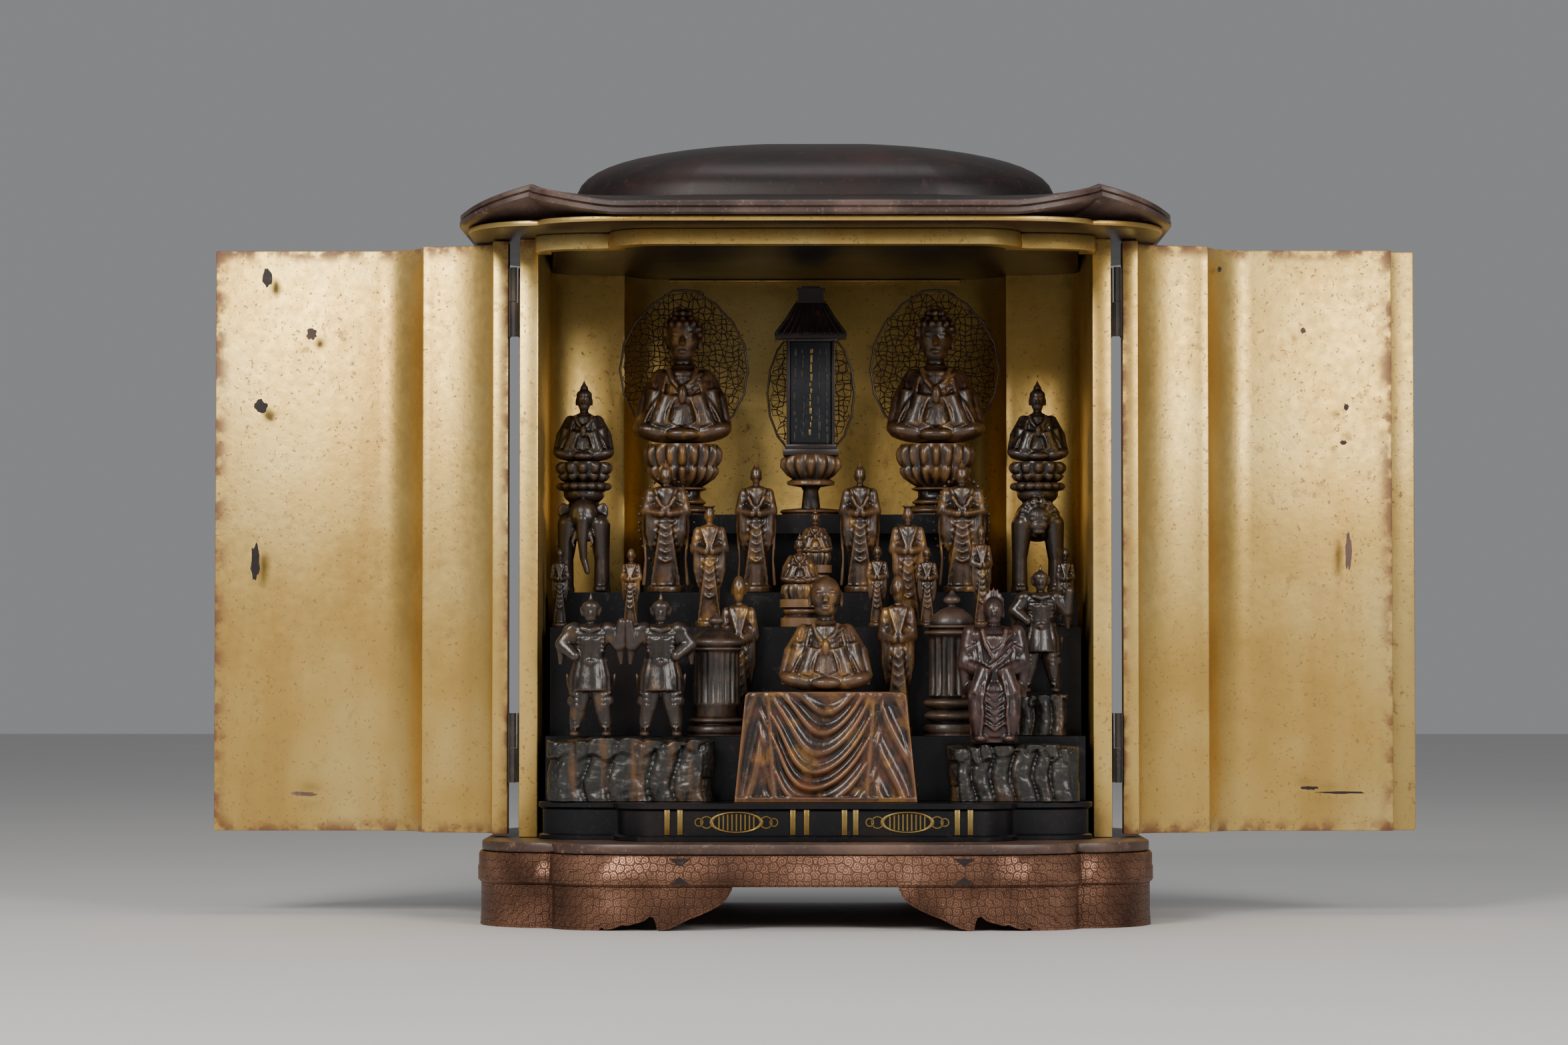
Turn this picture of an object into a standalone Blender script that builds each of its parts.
"""A standing shrine cabinet with lobed corners, two open doors and a carved assembly on steps.

The front faces -Y, the width runs along X and the feet stand on z = 0. All sizes are in metres.
"""
import math

import bmesh
import bpy
from mathutils import Matrix, Vector

# Gaps between pieces that touch, and running clearances
GAP = 0.0003
DOOR_HEAD_CLEARANCE = 0.0009
DOOR_FOOT_CLEARANCE = 0.0018
DOOR_MEETING_GAP = 0.0008
ASTRAGAL_GAP = 0.0004
LINTEL_GAP = 0.001

# Plan of the cabinet walls: flats joined by two lobes that meet in a notch at each corner
HALF_WIDTH = 0.1885
HALF_DEPTH = 0.142
FRONT_FLAT = 0.099
SIDE_FLAT = 0.080
NOTCH_X = 0.1405
NOTCH_Y = 0.112
LOBE_STEPS = 4

# Levels, from the floor upwards, as heights of the layers
FOOT_HEIGHT = 0.0265
BAND_HEIGHT = 0.0192
PLATE_HEIGHT = 0.0067
WALL_HEIGHT = 0.3807
DAIS_HEIGHT = 0.0197
RAIL_HEIGHT = 0.0037
LINTEL_HEIGHT = 0.010
CORNICE_HEIGHT = 0.0037
CEILING_DROP = 0.009
CEILING_FRONT_IN = 0.0225
EAVE_HEIGHT = 0.0087
ROOF_RISE = 0.053
INSIDE_HEIGHT = WALL_HEIGHT - DAIS_HEIGHT - RAIL_HEIGHT

# How far each layer stands out from the walls, or in from them
BAND_OUT = 0.024
BAND_EDGE = 0.0015
PLATE_OUT = 0.0215
FOOT_OUT = 0.0225
FOOT_THICKNESS = 0.012
CORNICE_OUT = 0.031
EAVE_OUT = 0.0365
EAVE_PEAK = 0.013
EAVE_PEAK_REACH = 0.062
EAVE_UNDERCUT = 0.018
SKIRT_WIDTH = 0.020
SKIRT_RISE = 0.0035
SKIRT_LIFT_SHARE = 0.45
DAIS_IN = 0.014
DAIS_PANEL_DEPTH = 0.0025
DAIS_FILLET = 0.003

# Feet: how far each bracket reaches along the front and along the side
FOOT_FRONT_REACH = 0.048
FOOT_SIDE_REACH = 0.030
FOOT_LIP = 0.0012

# Dome of the roof
DOME_HALF_WIDTH = 0.166
DOME_HALF_DEPTH = 0.121
DOME_FOOT_RISE = 0.010
DOME_FULLNESS = 0.42
ROOF_LOBE_STEPS = 3

# Walls, doors and hinges
WALL_THICKNESS = 0.012
DOOR_THICKNESS = 0.010
HINGE_Y = -0.062
HINGE_OUT = 0.0037
DOOR_SIDE_GAP = 0.0037
MEETING_X = 0.008
ASTRAGAL_WIDTH = 0.022
ASTRAGAL_THICKNESS = 0.004
LINTEL_THICKNESS = 0.010
HINGE_LENGTH = 0.044
HINGE_FROM_FOOT = 0.0347
HINGE_FROM_HEAD = 0.0180
KNUCKLE_RADIUS = 0.0023
KNUCKLE_SIDES = 8
LEAF_THICKNESS = 0.0008
JAMB_LEAF_WIDTH = 0.018
DOOR_LEAF_WIDTH = 0.009
LEAF_START = 0.0035

# Steps inside: front edge of each, and heights above the dais rail as shares of the room inside
STEP_FRONTS = (-0.070, -0.026, 0.008)
STEP_HEIGHTS = (0.1134 * INSIDE_HEIGHT, 0.3079 * INSIDE_HEIGHT, 0.3722 * INSIDE_HEIGHT)
STEPS_BACK = 0.060
STEPS_SIDE_CLEARANCE = 0.0055
SHELF_FRONT = 0.044
SHELF_BACK = 0.108
SHELF_HALF_WIDTH = 0.114
SHELF_HEIGHT = 0.5178 * INSIDE_HEIGHT
SHELF_BOARD = 0.0125

# Levels that follow from the layers
BAND_Z = FOOT_HEIGHT + GAP
PLATE_Z = BAND_Z + BAND_HEIGHT + GAP
WALL_Z = PLATE_Z + PLATE_HEIGHT + GAP
WALL_TOP = WALL_Z + WALL_HEIGHT
RAIL_TOP = WALL_Z + DAIS_HEIGHT + RAIL_HEIGHT
CORNICE_Z = WALL_TOP + GAP
ROOF_Z = CORNICE_Z + CORNICE_HEIGHT + GAP
FLOOR_Z = RAIL_TOP + GAP
STEP_Z = tuple(FLOOR_Z + height + GAP for height in STEP_HEIGHTS)
SHELF_Z = FLOOR_Z + SHELF_HEIGHT + GAP
DOOR_Z = WALL_Z - GAP + DOOR_FOOT_CLEARANCE
DOOR_TOP = WALL_TOP + GAP - DOOR_HEAD_CLEARANCE
HINGE_X = HALF_WIDTH + HINGE_OUT
HINGE_LOW_Z = WALL_Z + HINGE_FROM_FOOT
HINGE_HIGH_Z = WALL_TOP - HINGE_FROM_HEAD - HINGE_LENGTH

# Carved figures, as shares of their own height: level, half width, half depth, forward shift, fold
STANDING_BODY = (
    (0.000, 0.150, 0.120, 0.000, 0.00),
    (0.050, 0.150, 0.120, 0.000, 0.00),
    (0.055, 0.112, 0.088, 0.000, 0.10),
    (0.300, 0.108, 0.090, 0.002, 0.16),
    (0.480, 0.138, 0.100, 0.006, 0.10),
    (0.610, 0.168, 0.112, 0.010, 0.04),
    (0.760, 0.146, 0.086, 0.000, 0.00),
    (0.815, 0.098, 0.064, 0.000, 0.00),
    (0.838, 0.042, 0.042, 0.000, 0.00),
)
SEATED_BODY = (
    (0.000, 0.350, 0.240, 0.020, 0.03),
    (0.100, 0.380, 0.280, 0.030, 0.00),
    (0.200, 0.330, 0.230, 0.030, 0.05),
    (0.280, 0.270, 0.170, 0.010, 0.03),
    (0.420, 0.295, 0.160, 0.000, 0.00),
    (0.540, 0.265, 0.130, 0.000, 0.03),
    (0.605, 0.190, 0.095, 0.000, 0.00),
    (0.635, 0.080, 0.080, 0.000, 0.00),
)
ENTHRONED_BODY = (
    (0.000, 0.190, 0.150, 0.030, 0.06),
    (0.180, 0.235, 0.170, 0.035, 0.12),
    (0.330, 0.250, 0.185, 0.040, 0.08),
    (0.430, 0.215, 0.150, 0.010, 0.00),
    (0.520, 0.190, 0.120, 0.000, 0.06),
    (0.640, 0.225, 0.125, 0.000, 0.00),
    (0.740, 0.190, 0.100, 0.000, 0.04),
    (0.785, 0.080, 0.070, 0.000, 0.00),
)
# Heads, as shares of the head's own height above the neck
PLAIN_HEAD = (
    (0.20, 0.36, 0.39, 0.02, 0.00),
    (0.60, 0.40, 0.43, 0.00, 0.00),
    (0.90, 0.27, 0.29, 0.00, 0.00),
    (1.00, 0.10, 0.11, 0.00, 0.00),
)
CURLED_HEAD = (
    (0.15, 0.30, 0.32, 0.02, 0.00),
    (0.45, 0.36, 0.38, 0.00, 0.00),
    (0.70, 0.33, 0.35, 0.00, 0.00),
    (0.84, 0.20, 0.20, 0.00, 0.00),
    (1.00, 0.10, 0.10, 0.00, 0.00),
)
KNOT_HEAD = (
    (0.15, 0.26, 0.28, 0.02, 0.00),
    (0.45, 0.29, 0.31, 0.00, 0.00),
    (0.66, 0.22, 0.23, 0.00, 0.00),
    (0.74, 0.11, 0.11, 0.00, 0.00),
    (0.86, 0.12, 0.12, 0.00, 0.00),
    (1.00, 0.04, 0.04, 0.00, 0.00),
)
FLAT_HAT_HEAD = (
    (0.18, 0.33, 0.35, 0.02, 0.00),
    (0.52, 0.34, 0.37, 0.00, 0.00),
    (0.80, 0.26, 0.28, 0.00, 0.00),
    (0.86, 0.46, 0.46, 0.00, 0.00),
    (1.00, 0.48, 0.48, 0.00, 0.00),
)
FLAME_HEAD = (
    (0.16, 0.32, 0.32, 0.02, 0.00),
    (0.46, 0.36, 0.36, 0.00, 0.10),
    (0.70, 0.33, 0.30, -0.03, 0.26),
    (1.00, 0.12, 0.12, -0.03, 0.30),
)

# Standing figures: name, body share of the inner half width, row, height, plinth below, head, finish
BACK_ROW = 0.022
OFFICIAL_ROW = -0.0015
FRONT_ROW = -0.0175
STANDING_FIGURES = (
    ("bodhisattva_far_left", -0.555, BACK_ROW, 0.0870, 0.0000, "knot", "amber"),
    ("bodhisattva_near_left", -0.221, BACK_ROW, 0.0870, 0.0000, "knot", "amber"),
    ("bodhisattva_near_right", 0.164, BACK_ROW, 0.0870, 0.0000, "knot", "amber"),
    ("bodhisattva_far_right", 0.544, BACK_ROW, 0.0870, 0.0000, "knot", "amber"),
    ("official_left", -0.391, OFFICIAL_ROW, 0.0790, 0.0000, "hat", "amber"),
    ("official_right", 0.340, OFFICIAL_ROW, 0.0790, 0.0000, "hat", "amber"),
    ("disciple_outer_left", -0.674, FRONT_ROW, 0.0505, 0.0000, "plain", "amber"),
    ("disciple_near_right", 0.227, FRONT_ROW, 0.0525, 0.0000, "plain", "amber"),
    ("disciple_mid_right", 0.408, FRONT_ROW, 0.0515, 0.0000, "plain", "amber"),
    ("disciple_outer_right", 0.606, FRONT_ROW, 0.0535, 0.0120, "plain", "amber"),
    ("page_far_left", -0.935, FRONT_ROW, 0.0460, 0.0050, "plain", "patina"),
    ("page_far_right", 0.915, FRONT_ROW, 0.0460, 0.0050, "plain", "patina"),
)
BACK_ROW_SIDES = 7
FRONT_ROW_SIDES = 6
FLAME_SCREENED = ("bodhisattva_far_left", "bodhisattva_far_right")
SCREEN_HALF_WIDTH = 0.022
SCREEN_HEIGHT = 0.072
SCREEN_THICKNESS = 0.0022

# Figures and columns on the lowest step, the attendants behind the columns
ATTENDANT_X = (-0.278, 0.300)
ATTENDANT_Y = -0.0367
ATTENDANT_HEIGHT = 0.078
ATTENDANT_PLINTH = 0.024
COLUMN_X = (-0.357, 0.493)
COLUMN_Y = -0.0570
COLUMN_HEIGHTS = (0.078, 0.092)
COLUMN_HALF_WIDTH = 0.0185
COLUMN_HALF_DEPTH = 0.0125

# Seated images on lotus seats, their haloes, and the roofed tablet between them
IMAGE_X = (-0.499, 0.453)
IMAGE_Y = 0.064
IMAGE_HEIGHT = 0.2547 * INSIDE_HEIGHT
IMAGE_DEPTH_SHARE = 0.75
LOTUS_HEIGHT = 0.1315 * INSIDE_HEIGHT
LOTUS_HALF_WIDTH = 0.031
LOTUS_HALF_DEPTH = 0.0195
HALO_Y = 0.0835
HALO_HALF_WIDTH = 0.0445
HALO_HEIGHT = 0.3079 * INSIDE_HEIGHT
HALO_THICKNESS = 0.002
HALO_POINTS = 26
TABLET_HALO_POINTS = 20
TABLET_X = -0.017
TABLET_Y = 0.064
TABLET_PEDESTAL_HEIGHT = 0.1147 * INSIDE_HEIGHT
TABLET_HEIGHT = 0.3163 * INSIDE_HEIGHT
TABLET_EMBED = 0.0015
TABLET_HALF_WIDTH = 0.0165
TABLET_HALF_DEPTH = 0.008
TABLET_ROOF_HALF_WIDTH = 0.0240
TABLET_HALO_HALF_WIDTH = 0.031
TABLET_HALO_HEIGHT = 0.2799 * INSIDE_HEIGHT

# Small seated images on stepped pedestals in the middle
SMALL_IMAGES = (
    ("small_image_lower", -0.057, FRONT_ROW + 0.004, 1, 0.036, 0.027),
    ("small_image_upper", 0.000, BACK_ROW - 0.002, 2, 0.030, 0.027),
)

# Riders on an elephant and a lion
MOUNT_X = (-0.861, 0.827)
MOUNT_Y = 0.028
MOUNT_HEIGHT = 0.072
MOUNT_HALF_WIDTH = 0.0185
MOUNT_HALF_LENGTH = 0.0185
RIDER_HEIGHT = 0.054
RIDER_LOTUS_HEIGHT = 0.0135
MOUNT_SIDES = 8
PETAL_FOLD = 0.12

# Throne with hanging cloth, and the seated monk on it
THRONE_X = 0.0065
THRONE_Y = -0.0935
THRONE_HEIGHT = 0.069
THRONE_TOP_HALF_WIDTH = 0.050
THRONE_BOTTOM_HALF_WIDTH = 0.0575
THRONE_TOP_HALF_DEPTH = 0.0175
THRONE_BOTTOM_HALF_DEPTH = 0.0210
CLOTH_FOLD_DEPTH = 0.0013
CLOTH_FOLD_COUNT = 4.5
CLOTH_COLUMNS = 12
CLOTH_ROWS = 9
MONK_HEIGHT = 0.072

# Rocks in front, clear of the closed doors: name, share of the inner half width, half width,
# half depth, height
ROCK_Y = -0.0845
ROCK_DOOR_CLEARANCE = 0.0025
ROCK_SIDES = 18
ROCKS = (
    ("rock_left", -0.669, 0.0560, 0.0140, 0.040),
    ("rock_right", 0.711, 0.0445, 0.0140, 0.036),
)
BACK_ROCK_Y = -0.0525
BACK_ROCK_HALF_WIDTH = 0.0175
BACK_ROCK_HALF_DEPTH = 0.0125
BACK_ROCK_HEIGHT = 0.027
ROCK_EMBED = 0.002

# Guardians: height, stance, and the places of the three of them
GUARDIAN_HEIGHT = 0.091
GUARDIAN_OUTER_X = -0.802
GUARDIAN_INNER_X = -0.550
GUARDIAN_RIGHT_X = 0.812
GUARDIAN_RIGHT_HEIGHT = 0.082
DEITY_X = 0.636
DEITY_HEIGHT = 0.098

INNER_HALF_WIDTH = HALF_WIDTH - WALL_THICKNESS

FINISHES = {
    "gold": ((0.72, 0.50, 0.18, 1.0), 0.35, 0.85),
    "lacquer": ((0.055, 0.028, 0.020, 1.0), 0.30, 0.0),
    "copper": ((0.40, 0.19, 0.11, 1.0), 0.40, 0.75),
    "black": ((0.015, 0.014, 0.016, 1.0), 0.25, 0.0),
    "patina": ((0.075, 0.045, 0.032, 1.0), 0.30, 0.1),
    "amber": ((0.34, 0.17, 0.05, 1.0), 0.32, 0.4),
    "stone": ((0.10, 0.10, 0.085, 1.0), 0.45, 0.0),
    "iron": ((0.09, 0.08, 0.075, 1.0), 0.50, 0.8),
}


def clear_scene():
    """Remove every object that the file opened with."""
    for obj in list(bpy.data.objects):
        bpy.data.objects.remove(obj, do_unlink=True)


def make_finish(name):
    """One Principled material for one sub-part."""
    colour, roughness, metallic = FINISHES[name]
    material = bpy.data.materials.new(name)
    material.use_nodes = True
    shader = material.node_tree.nodes["Principled BSDF"]
    shader.inputs["Base Color"].default_value = colour
    shader.inputs["Roughness"].default_value = roughness
    shader.inputs["Metallic"].default_value = metallic
    material.diffuse_color = colour
    return material


def add_object(name, bm, finish, place=(0.0, 0.0, 0.0)):
    """Turn a closed bmesh body into a named object at its place."""
    bmesh.ops.recalc_face_normals(bm, faces=bm.faces)
    mesh = bpy.data.meshes.new(name)
    bm.to_mesh(mesh)
    bm.free()
    mesh.materials.append(make_finish(finish))
    obj = bpy.data.objects.new(name, mesh)
    obj.location = place
    bpy.context.scene.collection.objects.link(obj)
    return obj


def smooth(obj, angle=50.0):
    """Shade a round piece smooth and keep its hard edges sharp."""
    obj.data.shade_smooth()
    obj.data.set_sharp_from_angle(angle=math.radians(angle))


def stack_rings(bm, rings):
    """Close a body through rings of equal length, the lowest first."""
    loops = [[bm.verts.new(point) for point in ring] for ring in rings]
    count = len(loops[0])
    for low, high in zip(loops, loops[1:]):
        for i in range(count):
            j = (i + 1) % count
            bm.faces.new((low[i], low[j], high[j], high[i]))
    bm.faces.new(list(reversed(loops[0])))
    bm.faces.new(loops[-1])


def slab(name, outline, low, high, finish):
    """A flat board with the given outline."""
    bm = bmesh.new()
    stack_rings(bm, [[(x, y, z) for x, y in outline] for z in (low, high)])
    return add_object(name, bm, finish)


def lobed_quarter(offset, steps=LOBE_STEPS):
    """Plan points of the +X +Y corner, from the side flat round to the front flat."""
    notch_x = NOTCH_X + offset
    notch_y = NOTCH_Y + offset
    side_reach = HALF_WIDTH - NOTCH_X
    front_reach = HALF_DEPTH - NOTCH_Y
    points = []
    for i in range(steps + 1):
        turn = 0.5 * math.pi * i / steps
        points.append((notch_x + side_reach * math.cos(turn),
                       SIDE_FLAT + (notch_y - SIDE_FLAT) * math.sin(turn)))
    for i in range(1, steps + 1):
        turn = 0.5 * math.pi * i / steps
        points.append((FRONT_FLAT + (notch_x - FRONT_FLAT) * math.cos(turn),
                       notch_y + front_reach * math.sin(turn)))
    return points


def plan_depth(x, offset):
    """Half depth of the lobed plan at x, out to the corner lobes."""
    notch_x = NOTCH_X + offset
    if abs(x) < notch_x:
        reach = max(0.0, (abs(x) - FRONT_FLAT) / (notch_x - FRONT_FLAT))
        return NOTCH_Y + offset + (HALF_DEPTH - NOTCH_Y) * math.sqrt(1.0 - reach ** 2)
    reach = min(1.0, (abs(x) - notch_x) / (HALF_WIDTH - NOTCH_X))
    return SIDE_FLAT + (NOTCH_Y + offset - SIDE_FLAT) * math.sqrt(1.0 - reach ** 2)


def lobed_outline(offset, steps=LOBE_STEPS):
    """The whole lobed plan, anticlockwise from the +X side."""
    quarter = lobed_quarter(offset, steps)
    mirrored = [(-x, y) for x, y in reversed(quarter)]
    half = quarter + mirrored
    return half + [(-x, -y) for x, y in half]


def front_path(offset, start_y, end_x, steps=LOBE_STEPS):
    """Plan path from the left side flat round the front left corner to end_x on the front."""
    quarter = lobed_quarter(offset, steps)
    path = [(-x, -y) for x, y in quarter]
    return [(-(HALF_WIDTH + offset), start_y)] + path + [(end_x, -(HALF_DEPTH + offset))]


def mirror_path(path):
    """The same path on the right side."""
    return [(-x, y) for x, y in path]


def make_base():
    """Plinth band and the plate that the walls stand on."""
    bm = bmesh.new()
    levels = (
        (BAND_OUT - BAND_EDGE, BAND_Z),
        (BAND_OUT, BAND_Z + BAND_EDGE),
        (BAND_OUT, BAND_Z + BAND_HEIGHT - BAND_EDGE),
        (BAND_OUT - BAND_EDGE, BAND_Z + BAND_HEIGHT),
    )
    stack_rings(bm, [[(x, y, z) for x, y in lobed_outline(out)] for out, z in levels])
    smooth(add_object("base_band", bm, "copper"))
    smooth(slab("base_plate", lobed_outline(PLATE_OUT), PLATE_Z, PLATE_Z + PLATE_HEIGHT, "lacquer"))


def foot_arch(share):
    """Height share of a bracket foot's lower edge, from the corner (0) to its tip (1)."""
    flat_end, cusp, first_rise = 0.46, 0.70, 0.10
    if share < flat_end:
        return 0.0
    if share < cusp:
        return first_rise * math.sin(math.pi * (share - flat_end) / (cusp - flat_end))
    climb = (share - cusp) / (1.0 - cusp)
    return 0.55 * climb ** 0.7 + 0.45 * climb ** 4


def foot_stations():
    """Outer and inner plan points of the +X +Y foot with the arch share at each."""
    outer = lobed_quarter(FOOT_OUT)
    inner = lobed_quarter(FOOT_OUT - FOOT_THICKNESS)
    side_ends = 6
    front_ends = 8
    stations = []
    for i in range(side_ends, 0, -1):
        share = i / side_ends
        y = SIDE_FLAT - FOOT_SIDE_REACH * share
        stations.append(((HALF_WIDTH + FOOT_OUT, y),
                         (HALF_WIDTH + FOOT_OUT - FOOT_THICKNESS, y), 0.46 + 0.54 * share))
    for near, far in zip(outer, inner):
        stations.append((near, far, 0.0))
    for i in range(1, front_ends + 1):
        share = i / front_ends
        x = FRONT_FLAT - FOOT_FRONT_REACH * share
        stations.append(((x, HALF_DEPTH + FOOT_OUT),
                         (x, HALF_DEPTH + FOOT_OUT - FOOT_THICKNESS), 0.46 + 0.54 * share))
    return stations


def make_feet():
    """Four bracket feet that wrap the corners, with cusped lower edges."""
    names = {(-1, -1): "foot_front_left", (1, -1): "foot_front_right",
             (-1, 1): "foot_back_left", (1, 1): "foot_back_right"}
    for (side, face), name in names.items():
        bm = bmesh.new()
        rings = []
        for (ox, oy), (ix, iy), share in foot_stations():
            low = min(foot_arch(share) * FOOT_HEIGHT, FOOT_HEIGHT - FOOT_LIP)
            rings.append([(side * ox, face * oy, low), (side * ox, face * oy, FOOT_HEIGHT),
                          (side * ix, face * iy, FOOT_HEIGHT), (side * ix, face * iy, low)])
        stack_rings(bm, rings)
        smooth(add_object(name, bm, "copper"))


def make_walls():
    """Back and sides in one lobed shell, open to the front."""
    def half_path(offset):
        quarter = lobed_quarter(offset)
        return [(HALF_WIDTH + offset, HINGE_Y)] + quarter

    outer_right = half_path(0.0)
    inner_right = half_path(-WALL_THICKNESS)
    outer = outer_right + [(-x, y) for x, y in reversed(outer_right)]
    inner = inner_right + [(-x, y) for x, y in reversed(inner_right)]
    smooth(slab("cabinet_walls", outer + list(reversed(inner)), WALL_Z, WALL_TOP, "gold"))


def make_lintel():
    """Lobed strip over the opening, behind the heads of the closed doors."""
    out = -DOOR_THICKNESS - LINTEL_GAP
    start = HINGE_Y - GAP
    left_outer = front_path(out, start, 0.0)[:-1]
    left_inner = front_path(out - LINTEL_THICKNESS, start, 0.0)[:-1]
    outer = left_outer + list(reversed(mirror_path(left_outer)))
    inner = left_inner + list(reversed(mirror_path(left_inner)))
    low = WALL_TOP - LINTEL_HEIGHT
    smooth(slab("front_lintel", outer + list(reversed(inner)), low, WALL_TOP, "gold"))


def make_cornice():
    """Gilt moulding board under the eaves, with the ceiling let down inside the walls."""
    rear = lobed_outline(-WALL_THICKNESS - GAP)
    front = lobed_outline(-CEILING_FRONT_IN)
    half = len(rear) // 2
    inner = rear[:half] + front[half:]
    outer = lobed_outline(CORNICE_OUT)
    layers = ((inner, CORNICE_Z - CEILING_DROP), (inner, CORNICE_Z), (outer, CORNICE_Z),
              (outer, CORNICE_Z + CORNICE_HEIGHT))
    bm = bmesh.new()
    stack_rings(bm, [[(x, y, z) for x, y in outline] for outline, z in layers])
    smooth(add_object("cornice", bm, "gold"))


def eave_lift(x, y):
    """How far the eave sweeps up near the corner notches."""
    notch_x = NOTCH_X + EAVE_OUT
    notch_y = NOTCH_Y + EAVE_OUT
    away = math.hypot(abs(x) - notch_x, abs(y) - notch_y)
    share = max(0.0, 1.0 - away / EAVE_PEAK_REACH)
    return EAVE_PEAK * share ** 1.3


def dome_point(point, scale):
    """A plan point of the dome in the same direction as a lobed plan point."""
    turn = math.atan2(point[1] / DOME_HALF_DEPTH, point[0] / DOME_HALF_WIDTH)
    power = 0.8
    x = DOME_HALF_WIDTH * math.copysign(abs(math.cos(turn)) ** power, math.cos(turn))
    y = DOME_HALF_DEPTH * math.copysign(abs(math.sin(turn)) ** power, math.sin(turn))
    return (x * scale, y * scale)


def make_roof():
    """Swept eaves with peaks over the corner notches, and a low dome."""
    eave = lobed_outline(EAVE_OUT, ROOF_LOBE_STEPS)
    under = lobed_outline(CORNICE_OUT - EAVE_UNDERCUT, ROOF_LOBE_STEPS)
    skirt = lobed_outline(EAVE_OUT - SKIRT_WIDTH, ROOF_LOBE_STEPS)
    top = ROOF_Z + EAVE_HEIGHT
    rings = [
        [(x, y, ROOF_Z) for x, y in under],
        [(x, y, ROOF_Z + eave_lift(x, y)) for x, y in eave],
        [(x, y, top + eave_lift(x, y)) for x, y in eave],
        [(x, y, top + SKIRT_RISE + SKIRT_LIFT_SHARE * eave_lift(ex, ey))
         for (x, y), (ex, ey) in zip(skirt, eave)],
    ]
    dome_base = top + DOME_FOOT_RISE
    for share in (1.0, 0.985, 0.92, 0.78, 0.55, 0.28):
        rise = (ROOF_RISE - DOME_FOOT_RISE) * (1.0 - share ** 2) ** DOME_FULLNESS
        rings.append([(*dome_point(point, share), dome_base + rise) for point in eave])
    bm = bmesh.new()
    stack_rings(bm, rings)
    crown = bm.verts.new((0.0, 0.0, top + ROOF_RISE))
    bm.faces.ensure_lookup_table()
    cap = bm.faces[-1]
    edges = list(cap.edges)
    bm.faces.remove(cap)
    for edge in edges:
        bm.faces.new((edge.verts[0], edge.verts[1], crown))
    smooth(add_object("roof", bm, "lacquer"), 40.0)


def make_dais():
    """Low platform inside, with a recessed panel under its rail."""
    steps = 3
    levels = (
        (-DAIS_IN, WALL_Z),
        (-DAIS_IN, WALL_Z + DAIS_FILLET),
        (-DAIS_IN - DAIS_PANEL_DEPTH, WALL_Z + DAIS_FILLET),
        (-DAIS_IN - DAIS_PANEL_DEPTH, WALL_Z + DAIS_HEIGHT),
        (-DAIS_IN, WALL_Z + DAIS_HEIGHT),
        (-DAIS_IN, RAIL_TOP),
    )
    bm = bmesh.new()
    stack_rings(bm, [[(x, y, z) for x, y in lobed_outline(out, steps)] for out, z in levels])
    smooth(add_object("dais", bm, "black"))


def extrude_profile(name, profile, half_width, finish):
    """A body with a side profile of (y, z) points, as wide as twice half_width."""
    bm = bmesh.new()
    stack_rings(bm, [[(x, y, z) for y, z in profile] for x in (-half_width, half_width)])
    return add_object(name, bm, finish)


def make_steps():
    """Three broad steps and the top shelf behind them."""
    profile = [(STEPS_BACK, FLOOR_Z), (STEP_FRONTS[0], FLOOR_Z)]
    for i, front in enumerate(STEP_FRONTS):
        top = FLOOR_Z + STEP_HEIGHTS[i]
        profile.append((front, top))
        following = STEP_FRONTS[i + 1] if i + 1 < len(STEP_FRONTS) else STEPS_BACK
        profile.append((following, top))
    extrude_profile("altar_steps", profile, INNER_HALF_WIDTH - STEPS_SIDE_CLEARANCE, "black")
    shelf_top = FLOOR_Z + SHELF_HEIGHT
    riser = STEPS_BACK + GAP
    shelf = [(SHELF_BACK, FLOOR_Z), (riser, FLOOR_Z), (riser, shelf_top - SHELF_BOARD),
             (SHELF_FRONT, shelf_top - SHELF_BOARD), (SHELF_FRONT, shelf_top),
             (SHELF_BACK, shelf_top)]
    extrude_profile("top_shelf", shelf, SHELF_HALF_WIDTH, "black")


def hinge_frame(side):
    """Empty on a door's hinge axis, turned to the open position."""
    frame = bpy.data.objects.new("axis_left" if side < 0 else "axis_right", None)
    frame.location = (side * HINGE_X, HINGE_Y, 0.0)
    frame.rotation_euler = (0.0, 0.0, math.pi)
    bpy.context.scene.collection.objects.link(frame)
    return frame


def make_doors():
    """Two doors that wrap the front corners, each modelled closed and hung open."""
    start = HINGE_Y - DOOR_SIDE_GAP
    frames = {side: hinge_frame(side) for side in (-1, 1)}
    ends = {-1: MEETING_X - 0.5 * DOOR_MEETING_GAP, 1: -MEETING_X - 0.5 * DOOR_MEETING_GAP}
    names = {-1: "door_left", 1: "door_right"}
    for side, frame in frames.items():
        outer = front_path(0.0, start, ends[side])
        inner = front_path(-DOOR_THICKNESS, start, ends[side])
        outline = outer + list(reversed(inner))
        if side > 0:
            outline = mirror_path(outline)
        local = [(x - side * HINGE_X, y - HINGE_Y) for x, y in outline]
        door = slab(names[side], local, DOOR_Z, DOOR_TOP, "gold")
        smooth(door)
        door.parent = frame
    covered = -ends[1] - DOOR_MEETING_GAP - ends[-1]
    left_edge = -ends[-1] - covered
    front = -HALF_DEPTH - ASTRAGAL_GAP - HINGE_Y
    strip = [(left_edge - HINGE_X, front - ASTRAGAL_THICKNESS),
             (left_edge + ASTRAGAL_WIDTH - HINGE_X, front - ASTRAGAL_THICKNESS),
             (left_edge + ASTRAGAL_WIDTH - HINGE_X, front),
             (left_edge - HINGE_X, front)]
    astragal = slab("door_astragal", strip, DOOR_Z, DOOR_TOP, "gold")
    astragal.parent = frames[1]
    return frames


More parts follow.
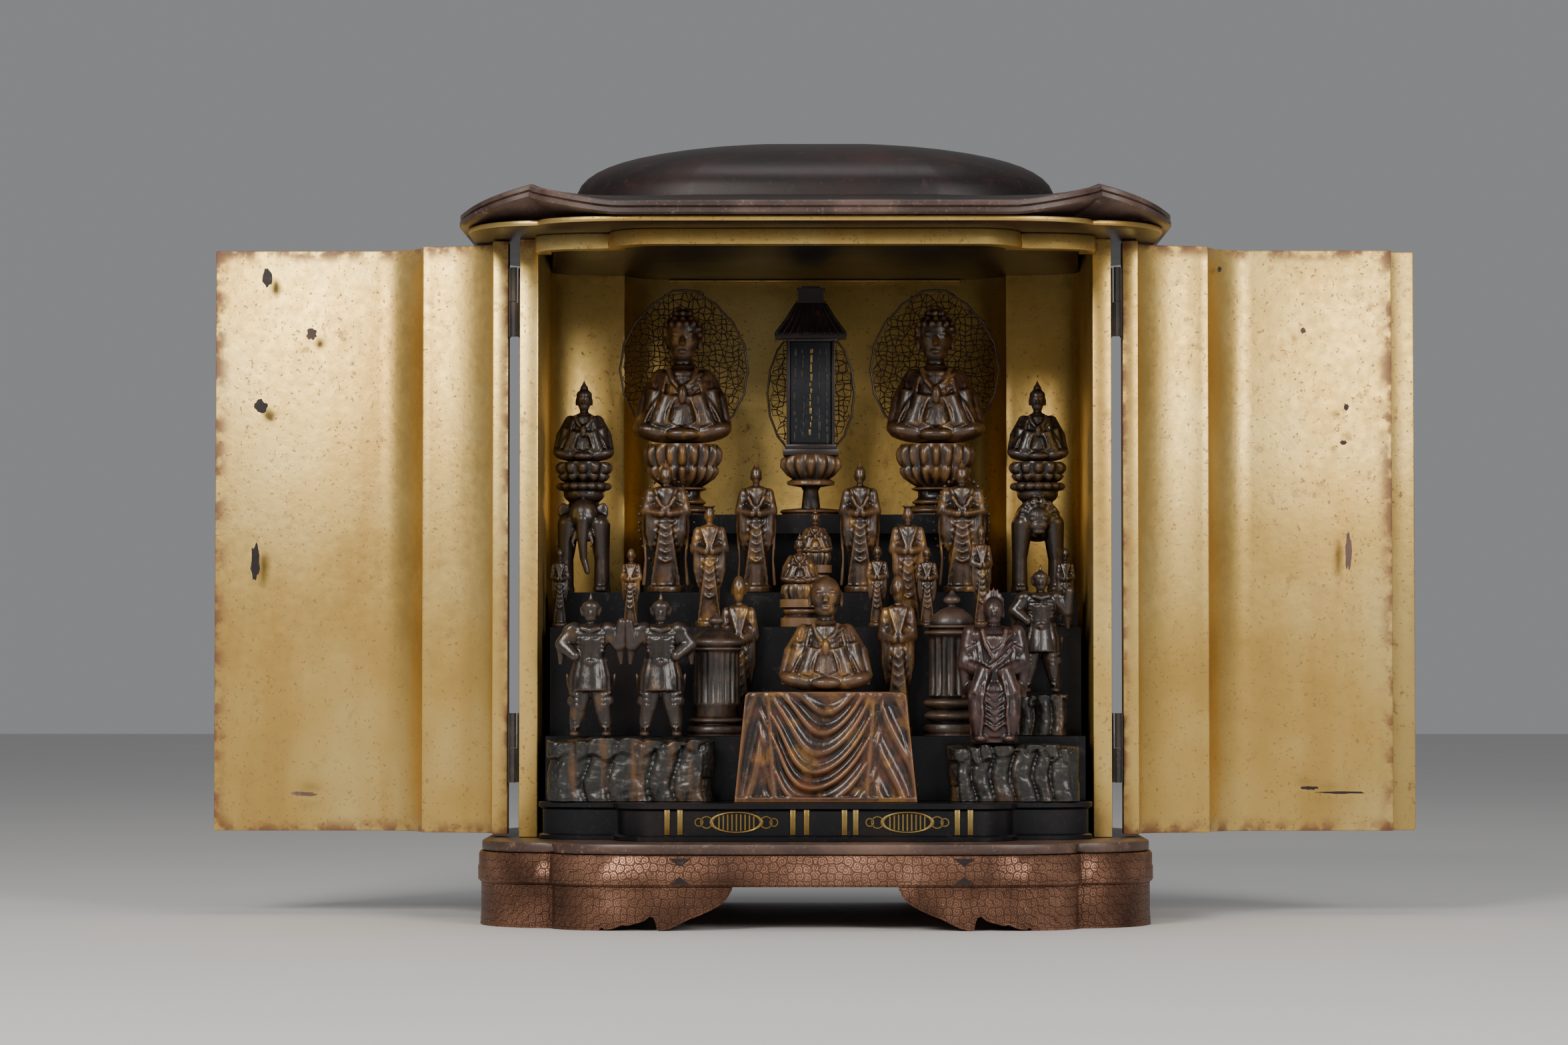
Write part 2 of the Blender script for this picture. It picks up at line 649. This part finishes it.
def box_body(bm, low, high):
    """Add a closed box between two corners."""
    ring = [(low[0], low[1]), (high[0], low[1]), (high[0], high[1]), (low[0], high[1])]
    stack_rings(bm, [[(x, y, z) for x, y in ring] for z in (low[2], high[2])])


def fuse(base, parts):
    """Union the parts into the base piece."""
    for part in parts:
        part.hide_render = True
        part.display_type = "WIRE"
        part.parent = base.parent
        part.location = base.location
        union = base.modifiers.new("union_" + part.name, "BOOLEAN")
        union.operation = "UNION"
        union.solver = "EXACT"
        union.object = part


def hinge_leaf(name, side, leaf, low, knuckle_low, parent):
    """A leaf with half of the knuckle. leaf is +1 for the jamb and -1 for the door side."""
    plate_near = KNUCKLE_RADIUS + GAP
    plate_far = plate_near + LEAF_THICKNESS
    width = JAMB_LEAF_WIDTH if leaf > 0 else DOOR_LEAF_WIDTH
    xs = sorted((-side * plate_near, -side * plate_far))
    ys = sorted((leaf * LEAF_START, leaf * (LEAF_START + width)))
    bm = bmesh.new()
    box_body(bm, (xs[0], ys[0], low), (xs[1], ys[1], low + HINGE_LENGTH))
    plate = add_object(name, bm, "iron")
    half = 0.5 * HINGE_LENGTH - 0.5 * GAP
    bm = bmesh.new()
    rings = []
    for z in (knuckle_low, knuckle_low + half):
        ring = []
        for i in range(KNUCKLE_SIDES):
            turn = 2.0 * math.pi * (i + 0.5) / KNUCKLE_SIDES
            ring.append((KNUCKLE_RADIUS * math.cos(turn), KNUCKLE_RADIUS * math.sin(turn), z))
        rings.append(ring)
    stack_rings(bm, rings)
    knuckle = add_object(name + "_knuckle", bm, "iron")
    web_far = plate_near + 0.5 * LEAF_THICKNESS
    xs = sorted((0.0, -side * web_far))
    ys = sorted((leaf * 0.0005, leaf * (LEAF_START + KNUCKLE_RADIUS)))
    bm = bmesh.new()
    box_body(bm, (xs[0], ys[0], knuckle_low + GAP), (xs[1], ys[1], knuckle_low + half - GAP))
    web = add_object(name + "_web", bm, "iron")
    if leaf > 0:
        plate.location = (side * HINGE_X, HINGE_Y, 0.0)
    else:
        plate.parent = parent
    fuse(plate, (knuckle, web))


def make_hinges(frames):
    """An upper and a lower hinge on each side, each with a jamb leaf and a door leaf."""
    for side, word in ((-1, "left"), (1, "right")):
        for level, low in (("low", HINGE_LOW_Z), ("high", HINGE_HIGH_Z)):
            middle = low + 0.5 * HINGE_LENGTH + 0.5 * GAP
            hinge_leaf(f"hinge_{word}_{level}_jamb", side, 1, low, low, None)
            hinge_leaf(f"hinge_{word}_{level}_door", side, -1, low, middle, frames[side])


def carved_rings(height, stations, sides, low=0.0, centre=(0.0, 0.0)):
    """Rings of an upright carved form. Forward is -Y, and folds pull every second point in."""
    rings = []
    for level, half_width, half_depth, forward, fold in stations:
        ring = []
        for i in range(sides):
            turn = 2.0 * math.pi * i / sides - 0.5 * math.pi
            pull = 1.0 - fold * (i % 2)
            ring.append((centre[0] + height * half_width * pull * math.cos(turn),
                         centre[1] + height * (half_depth * pull * math.sin(turn) - forward),
                         low + height * level))
        rings.append(ring)
    return rings


def with_head(body, head):
    """Join a body's stations to a head's, which starts at the body's last level."""
    neck = body[-1][0]
    share = 1.0 - neck
    joined = list(body)
    for level, half_width, half_depth, forward, fold in head:
        joined.append((neck + share * level, share * half_width, share * half_depth,
                       share * forward, fold))
    return joined


def plinth_rings(half_width, half_depth, height, sides):
    """Two rings of a low block under a figure."""
    rings = []
    for z in (0.0, height):
        ring = []
        for i in range(sides):
            turn = 2.0 * math.pi * i / sides - 0.5 * math.pi
            ring.append((half_width * math.cos(turn), half_depth * math.sin(turn), z))
        rings.append(ring)
    return rings


def standing_figure(name, place, height, head, finish, plinth=0.0, sides=8):
    """A robed figure in one piece with its low stand."""
    stations = with_head(STANDING_BODY, head)
    rings = carved_rings(height, stations, sides, plinth)
    if plinth > 0.0:
        half_width = STANDING_BODY[0][1] * height
        half_depth = STANDING_BODY[0][2] * height
        rings = plinth_rings(half_width, half_depth, plinth * 0.98, sides)[:1] + rings
    bm = bmesh.new()
    stack_rings(bm, rings)
    return add_object(name, bm, finish, place)


def make_standing_figures():
    """Rows of robed figures on the second and third steps."""
    heads = {"plain": PLAIN_HEAD, "knot": KNOT_HEAD, "hat": FLAT_HAT_HEAD}
    for name, share, row, height, plinth, head, finish in STANDING_FIGURES:
        step = 2 if row == BACK_ROW else 1
        place = (share * INNER_HALF_WIDTH, row, STEP_Z[step])
        sides = FRONT_ROW_SIDES if row == FRONT_ROW else BACK_ROW_SIDES
        figure = standing_figure(name, place, height, heads[head], finish, plinth, sides)
        if name in FLAME_SCREENED:
            bm = bmesh.new()
            back = STANDING_BODY[5][2] * height * 0.6
            outline = halo_outline(SCREEN_HALF_WIDTH, SCREEN_HEIGHT, 18)
            stack_rings(bm, [[(x, y, z + 0.010) for x, z in outline]
                             for y in (back, back + SCREEN_THICKNESS)])
            fuse(figure, (add_object(name + "_screen", bm, finish),))
    for share, word in zip(ATTENDANT_X, ("left", "right")):
        place = (share * INNER_HALF_WIDTH, ATTENDANT_Y, STEP_Z[0])
        standing_figure("attendant_" + word, place, ATTENDANT_HEIGHT, PLAIN_HEAD, "amber",
                        ATTENDANT_PLINTH)


def halo_outline(half_width, height, count):
    """A pointed oval with small cusps, standing on z = 0, as (x, z) points."""
    points = []
    for i in range(count):
        turn = 2.0 * math.pi * i / count - 0.5 * math.pi
        cusp = 1.0 - 0.035 * (i % 2)
        reach = math.cos(turn)
        rise = math.sin(turn)
        point = 0.06 * max(0.0, rise) ** 8
        points.append((half_width * cusp * reach,
                       height * (0.47 + 0.47 * cusp * rise + point)))
    return points


def make_halo(name, x, low, half_width, height, y, count=HALO_POINTS):
    """A thin pierced-work halo plate."""
    bm = bmesh.new()
    outline = halo_outline(half_width, height, count)
    stack_rings(bm, [[(px, py, pz) for px, pz in outline] for py in (0.0, HALO_THICKNESS)])
    return add_object(name, bm, "patina", (x, y, low))


def lotus_rings(half_width, half_depth, height, sides):
    """Stem foot, waist and two rows of petals under a flat top, as shares of the seat's size."""
    stations = (
        (0.00, 0.80, 0.0), (0.14, 0.80, 0.0), (0.22, 0.52, 0.0), (0.36, 0.50, 0.0),
        (0.46, 0.82, 0.16), (0.72, 1.00, 0.14), (0.92, 0.94, 0.10), (1.00, 0.84, 0.0),
    )
    rings = []
    for level, reach, fold in stations:
        ring = []
        for i in range(sides):
            turn = 2.0 * math.pi * i / sides - 0.5 * math.pi
            pull = reach * (1.0 - fold * (i % 2))
            ring.append((half_width * pull * math.cos(turn), half_depth * pull * math.sin(turn),
                         height * level))
        rings.append(ring)
    return rings


def make_images():
    """Two seated images on lotus seats with haloes behind them."""
    for share, word in zip(IMAGE_X, ("left", "right")):
        x = share * INNER_HALF_WIDTH
        bm = bmesh.new()
        stack_rings(bm, lotus_rings(LOTUS_HALF_WIDTH, LOTUS_HALF_DEPTH, LOTUS_HEIGHT, 12))
        add_object("lotus_" + word, bm, "patina", (x, IMAGE_Y, SHELF_Z))
        bm = bmesh.new()
        stations = [(level, half_width, IMAGE_DEPTH_SHARE * half_depth, forward, fold)
                    for level, half_width, half_depth, forward, fold
                    in with_head(SEATED_BODY, CURLED_HEAD)]
        stack_rings(bm, carved_rings(IMAGE_HEIGHT, stations, 10))
        seat = SHELF_Z + LOTUS_HEIGHT + GAP
        smooth(add_object("buddha_" + word, bm, "amber", (x, IMAGE_Y, seat)), 60.0)
        make_halo("halo_" + word, x, seat - 0.5 * LOTUS_HEIGHT + 0.024, HALO_HALF_WIDTH,
                  HALO_HEIGHT, HALO_Y)


def make_tablet():
    """Roofed tablet with a boxed top on a lotus and stem, with its own halo."""
    x = TABLET_X * INNER_HALF_WIDTH
    pedestal = (
        (0.00, 0.80, 0.0), (0.09, 0.80, 0.0), (0.14, 0.25, 0.0), (0.44, 0.20, 0.0),
        (0.50, 0.62, 0.0), (0.58, 0.62, 0.0), (0.64, 0.78, 0.14), (0.86, 1.00, 0.10),
        (1.00, 0.80, 0.0),
    )
    sides = 12
    rings = []
    for level, reach, fold in pedestal:
        ring = []
        for i in range(sides):
            turn = 2.0 * math.pi * i / sides
            pull = reach * (1.0 - fold * (i % 2))
            ring.append((1.3 * TABLET_HALF_WIDTH * pull * math.cos(turn),
                         1.7 * TABLET_HALF_DEPTH * pull * math.sin(turn),
                         TABLET_PEDESTAL_HEIGHT * level))
        rings.append(ring)
    bm = bmesh.new()
    stack_rings(bm, rings)
    pedestal_top = TABLET_PEDESTAL_HEIGHT - TABLET_EMBED
    pedestal_body = add_object("tablet_pedestal", bm, "amber")
    pedestal_body.data.transform(Matrix.Translation((0.0, 0.0, -pedestal_top)))

    roof = TABLET_ROOF_HALF_WIDTH / TABLET_HALF_WIDTH
    turret = 0.54
    levels = (
        (0.000, 1.14), (0.040, 1.14), (0.050, 1.00), (0.680, 1.00), (0.695, roof),
        (0.720, roof), (0.800, 0.98), (0.900, 0.62), (0.905, turret), (0.975, turret),
        (1.000, 0.34),
    )
    rings = []
    for level, reach in levels:
        half_width = TABLET_HALF_WIDTH * reach
        half_depth = TABLET_HALF_DEPTH * (1.0 + 0.75 * (reach - 1.0))
        z = TABLET_HEIGHT * level
        rings.append([(half_width, -half_depth, z), (half_width, half_depth, z),
                      (-half_width, half_depth, z), (-half_width, -half_depth, z)])
    bm = bmesh.new()
    stack_rings(bm, rings)
    seat = SHELF_Z + pedestal_top
    tablet = add_object("roofed_tablet", bm, "black", (x, TABLET_Y, seat))
    fuse(tablet, (pedestal_body,))
    make_halo("tablet_halo", x, seat - 0.004, TABLET_HALO_HALF_WIDTH, TABLET_HALO_HEIGHT,
              HALO_Y, TABLET_HALO_POINTS)


def make_small_images():
    """Small seated images on stepped pedestals."""
    steps = ((0.00, 1.00), (0.24, 1.00), (0.30, 0.74), (0.46, 1.05), (0.70, 1.05), (0.76, 0.80),
             (1.00, 0.86))
    sides = 7
    for name, share, y, step, height, pedestal in SMALL_IMAGES:
        base_half = 0.36 * height
        rings = []
        for level, reach in steps:
            ring = []
            for i in range(sides):
                turn = 2.0 * math.pi * (i + 0.5) / sides - 0.5 * math.pi
                ring.append((base_half * reach * math.cos(turn),
                             0.7 * base_half * reach * math.sin(turn), pedestal * level))
            rings.append(ring)
        stations = with_head(SEATED_BODY, PLAIN_HEAD)
        rings += carved_rings(height * 0.92, stations, sides, pedestal * 1.02)
        bm = bmesh.new()
        stack_rings(bm, rings)
        add_object(name, bm, "amber", (share * INNER_HALF_WIDTH, y, STEP_Z[step]))


def sweep_limb(name, points, radii, sides, finish):
    """A tapered limb along a short path, with a radius at each point."""
    path = [Vector(point) for point in points]
    rings = []
    for i, point in enumerate(path):
        before = path[max(i - 1, 0)]
        after = path[min(i + 1, len(path) - 1)]
        along = (after - before).normalized()
        across = along.cross(Vector((0.13, 1.0, 0.07))).normalized()
        upward = along.cross(across).normalized()
        ring = []
        for k in range(sides):
            turn = 2.0 * math.pi * k / sides
            ring.append(point + radii[i] * (math.cos(turn) * across + math.sin(turn) * upward))
        rings.append(ring)
    bm = bmesh.new()
    stack_rings(bm, rings)
    return add_object(name, bm, finish)


def make_mounts():
    """A rider on an elephant at the left and on a lion at the right."""
    for share, word, trunk in zip(MOUNT_X, ("elephant", "lion"), (True, False)):
        place = (share * INNER_HALF_WIDTH, MOUNT_Y, STEP_Z[2])
        width, length, height = MOUNT_HALF_WIDTH, MOUNT_HALF_LENGTH, MOUNT_HEIGHT
        back = 0.62 * height
        saddle = height
        rings = []
        for level, reach in ((back, 0.62), (0.72 * height, 0.95), (0.88 * height, 0.92),
                             (0.96 * height, 0.70), (saddle, 0.90)):
            ring = []
            for i in range(MOUNT_SIDES):
                turn = 2.0 * math.pi * i / MOUNT_SIDES - 0.5 * math.pi
                ring.append((width * reach * math.cos(turn), length * reach * math.sin(turn),
                             level))
            rings.append(ring)
        seat = (0.35 * RIDER_LOTUS_HEIGHT, 1.0), (0.8 * RIDER_LOTUS_HEIGHT, 1.04)
        for level, reach in seat:
            ring = []
            for i in range(MOUNT_SIDES):
                turn = 2.0 * math.pi * i / MOUNT_SIDES - 0.5 * math.pi
                pull = reach * (1.0 - PETAL_FOLD * (i % 2))
                ring.append((width * pull * math.cos(turn), length * pull * math.sin(turn),
                             saddle + level))
            rings.append(ring)
        bm = bmesh.new()
        rider = carved_rings(RIDER_HEIGHT, with_head(SEATED_BODY, KNOT_HEAD), MOUNT_SIDES,
                             saddle + RIDER_LOTUS_HEIGHT)
        stack_rings(bm, rings + rider)
        name = word + "_rider"
        figure = add_object(name, bm, "patina", place)
        parts = []
        leg = 0.25 * width
        for corner, (sx, sy) in enumerate(((-1, -1), (1, -1), (-1, 1), (1, 1))):
            x, y = sx * 0.66 * width, sy * 0.62 * length
            parts.append(sweep_limb(f"{name}_leg_{corner}",
                                    ((x, y, 0.0), (x, y, 0.06 * height), (x, y, 0.30 * height),
                                     (0.9 * x, 0.9 * y, 0.80 * height)),
                                    (1.3 * leg, 1.1 * leg, 0.95 * leg, 1.5 * leg), 5, "patina"))
        brow = -0.80 * length
        head = ((0.0, brow + 0.010, 0.66 * height), (0.0, brow, 0.72 * height),
                (0.0, brow - 0.004, 0.66 * height))
        if trunk:
            parts.append(sweep_limb(name + "_head",
                                    ((0.0, brow + 0.012, 0.74 * height),
                                     (0.0, brow - 0.001, 0.70 * height),
                                     (0.0, brow - 0.0035, 0.50 * height),
                                     (0.001, brow - 0.0030, 0.30 * height),
                                     (0.003, brow - 0.0045, 0.16 * height)),
                                    (0.60 * width, 0.50 * width, 0.24 * width, 0.15 * width,
                                     0.11 * width), 6, "patina"))
        else:
            parts.append(sweep_limb(name + "_head",
                                    ((0.0, head[0][1], 0.58 * height),
                                     (0.0, brow, 0.62 * height),
                                     (0.0, brow - 0.005, 0.62 * height)),
                                    (0.62 * width, 0.74 * width, 0.44 * width), 8, "patina"))
        fuse(figure, parts)


def make_throne():
    """Draped throne: hanging cloth with nested folds, widening to the floor."""
    columns, rows = CLOTH_COLUMNS, CLOTH_ROWS
    bm = bmesh.new()
    rings = []
    for r in range(rows + 1):
        drop = 1.0 - r / rows
        half_width = THRONE_TOP_HALF_WIDTH + (THRONE_BOTTOM_HALF_WIDTH
                                              - THRONE_TOP_HALF_WIDTH) * drop
        half_depth = THRONE_TOP_HALF_DEPTH + (THRONE_BOTTOM_HALF_DEPTH
                                              - THRONE_TOP_HALF_DEPTH) * drop
        ring = []
        for c in range(columns + 1):
            across = 2.0 * c / columns - 1.0
            sag = drop - 0.62 * (1.0 - across * across)
            inside = min(1.0, 4.0 * drop, 5.0 * (1.0 - abs(across)))
            fold = 0.5 - 0.5 * math.cos(2.0 * math.pi * CLOTH_FOLD_COUNT * sag)
            ring.append((across * half_width, -half_depth + CLOTH_FOLD_DEPTH * fold * inside,
                         THRONE_HEIGHT * (1.0 - drop)))
        ring.append((half_width, half_depth, THRONE_HEIGHT * (1.0 - drop)))
        ring.append((-half_width, half_depth, THRONE_HEIGHT * (1.0 - drop)))
        rings.append(ring)
    stack_rings(bm, rings)
    add_object("draped_throne", bm, "amber", (THRONE_X, THRONE_Y, FLOOR_Z))


def make_monk():
    """The seated monk in heavy robes on the throne."""
    stations = [(level, 1.16 * half_width if level < 0.7 else half_width, 0.92 * half_depth,
                 forward, fold)
                for level, half_width, half_depth, forward, fold
                in with_head(SEATED_BODY, PLAIN_HEAD)]
    bm = bmesh.new()
    stack_rings(bm, carved_rings(MONK_HEIGHT, stations, 11))
    place = (THRONE_X, THRONE_Y + 0.001, FLOOR_Z + THRONE_HEIGHT + GAP)
    smooth(add_object("seated_monk", bm, "amber", place), 60.0)


def rock_rings(half_width, half_depth, height, seed, sides=12):
    """Clefted rock: flutes run down the sides and the top is flat enough to stand on."""
    rings = []
    for level, reach in ((0.0, 0.97), (0.30, 0.93), (0.62, 1.00), (0.86, 0.97), (1.0, 0.84)):
        ring = []
        for i in range(sides):
            turn = 2.0 * math.pi * i / sides
            flute = 1.0 - 0.09 * (i % 2) * (1.0 + math.sin(seed + 2.3 * i))
            lump = 1.0 - 0.05 * (1.0 + math.sin(seed * 1.7 + 3.0 * turn + 5.0 * level))
            square = max(abs(math.cos(turn)), abs(math.sin(turn))) ** -0.55
            pull = min(reach * flute * lump * square, 1.0 / max(abs(math.cos(turn)),
                                                               abs(math.sin(turn))))
            ring.append((half_width * pull * math.cos(turn), half_depth * pull * math.sin(turn),
                         height * level))
        rings.append(ring)
    return rings


def make_rocks():
    """Rocks on the dais, at the left and the right of the throne."""
    for seed, (name, share, half_width, half_depth, height) in enumerate(ROCKS):
        rings = []
        for ring in rock_rings(half_width, half_depth, height, seed + 1.0, ROCK_SIDES):
            limits = [plan_depth(share * INNER_HALF_WIDTH + x,
                                 -DOOR_THICKNESS - ROCK_DOOR_CLEARANCE) for x, y, z in ring]
            rings.append([(x, max(y, -limit - ROCK_Y), z)
                          for (x, y, z), limit in zip(ring, limits)])
        bm = bmesh.new()
        stack_rings(bm, rings)
        add_object(name, bm, "stone", (share * INNER_HALF_WIDTH, ROCK_Y, FLOOR_Z))


def make_guardian(name, place, height, lean, raised, ledge=0.0):
    """An armoured guardian with parted legs. raised is +1 or -1 for the side of the lifted arm."""
    body = (
        (0.330, 0.140, 0.095, 0.000, 0.18),
        (0.450, 0.140, 0.095, 0.000, 0.12),
        (0.540, 0.105, 0.078, 0.000, 0.00),
        (0.640, 0.130, 0.090, 0.006, 0.00),
        (0.755, 0.140, 0.084, 0.000, 0.00),
        (0.800, 0.070, 0.055, 0.000, 0.00),
    )
    helmet = ((0.20, 0.40, 0.42, 0.02, 0.0), (0.50, 0.42, 0.44, 0.0, 0.0),
              (0.78, 0.32, 0.32, 0.0, 0.0), (0.86, 0.12, 0.12, 0.0, 0.0),
              (1.00, 0.06, 0.06, 0.0, 0.0))
    rings = carved_rings(height, with_head(body, helmet), 7)
    shifted = [[(x + lean * height * 0.05 * (z / height), y, z) for x, y, z in ring]
               for ring in rings]
    bm = bmesh.new()
    stack_rings(bm, shifted)
    figure = add_object(name, bm, "patina", place)
    parts = []
    for side in (-1, 1):
        foot = (side * 0.115 * height, -0.010 * height, 0.0)
        ankle = (foot[0], foot[1], 0.055 * height)
        knee = (side * 0.085 * height, -0.020 * height, 0.21 * height)
        hip = (side * 0.050 * height, 0.0, 0.42 * height)
        parts.append(sweep_limb(f"{name}_leg_{side + 1}", (foot, ankle, knee, hip),
                                (0.050 * height, 0.032 * height, 0.048 * height,
                                 0.060 * height), 6, "patina"))
        shoulder = (side * 0.115 * height, 0.0, 0.745 * height)
        elbow = (side * 0.205 * height, -0.015 * height, 0.640 * height)
        if side == raised:
            hand = (side * 0.225 * height, -0.045 * height, 0.800 * height)
        else:
            hand = (side * 0.120 * height, -0.085 * height, 0.560 * height)
        parts.append(sweep_limb(f"{name}_arm_{side + 1}", (shoulder, elbow, hand),
                                (0.052 * height, 0.045 * height, 0.032 * height), 6, "patina"))
    if ledge > 0.0:
        bm = bmesh.new()
        rings = rock_rings(BACK_ROCK_HALF_WIDTH, BACK_ROCK_HALF_DEPTH, ledge + ROCK_EMBED, 7.0)
        stack_rings(bm, [[(x, y, z - ledge) for x, y, z in ring] for ring in rings])
        parts.append(add_object(name + "_rock", bm, "stone"))
    fuse(figure, parts)


def make_guardians():
    """Three guardians and the seated wrathful deity."""
    rock_tops = {name: FLOOR_Z + height + GAP for name, _, _, _, height in ROCKS}
    make_guardian("guardian_outer_left",
                  (GUARDIAN_OUTER_X * INNER_HALF_WIDTH, ROCK_Y, rock_tops["rock_left"]),
                  GUARDIAN_HEIGHT, -0.4, 0)
    make_guardian("guardian_inner_left",
                  (GUARDIAN_INNER_X * INNER_HALF_WIDTH, ROCK_Y, rock_tops["rock_left"]),
                  GUARDIAN_HEIGHT, 0.6, -1)
    make_guardian("guardian_right",
                  (GUARDIAN_RIGHT_X * INNER_HALF_WIDTH, BACK_ROCK_Y,
                   STEP_Z[0] + BACK_ROCK_HEIGHT), GUARDIAN_RIGHT_HEIGHT, -0.4, 1,
                  BACK_ROCK_HEIGHT)
    bm = bmesh.new()
    stack_rings(bm, carved_rings(DEITY_HEIGHT, with_head(ENTHRONED_BODY, FLAME_HEAD), 10))
    add_object("wrathful_deity", bm, "patina",
               (DEITY_X * INNER_HALF_WIDTH, ROCK_Y, rock_tops["rock_right"]))


def make_columns():
    """Two fluted reliquary columns on turned bases."""
    stations = (
        (0.000, 1.00, 0.0), (0.080, 1.00, 0.0), (0.110, 0.72, 0.0), (0.160, 1.00, 0.0),
        (0.215, 0.72, 0.0), (0.250, 1.04, 0.0), (0.275, 0.86, 0.10), (0.690, 0.84, 0.10),
        (0.710, 1.00, 0.0), (0.760, 1.00, 0.0), (0.860, 0.55, 0.0), (0.890, 0.26, 0.0),
        (0.950, 0.30, 0.0), (1.000, 0.12, 0.0),
    )
    sides = 8
    for share, height, word in zip(COLUMN_X, COLUMN_HEIGHTS, ("left", "right")):
        rings = []
        for level, reach, fold in stations:
            ring = []
            for i in range(sides):
                turn = 2.0 * math.pi * i / sides
                pull = reach * (1.0 - fold * (i % 2)) * 0.96
                ring.append((COLUMN_HALF_WIDTH * pull * math.cos(turn),
                             COLUMN_HALF_DEPTH * pull * math.sin(turn), height * level))
            rings.append(ring)
        bm = bmesh.new()
        stack_rings(bm, rings)
        add_object("column_" + word, bm, "patina",
                   (share * INNER_HALF_WIDTH, COLUMN_Y, STEP_Z[0]))


def main():
    """Build the whole cabinet with everything inside it."""
    clear_scene()
    make_base()
    make_feet()
    make_walls()
    make_lintel()
    make_cornice()
    make_roof()
    make_dais()
    make_steps()
    frames = make_doors()
    make_hinges(frames)
    make_images()
    make_tablet()
    make_standing_figures()
    make_small_images()
    make_mounts()
    make_throne()
    make_monk()
    make_rocks()
    make_guardians()
    make_columns()


main()
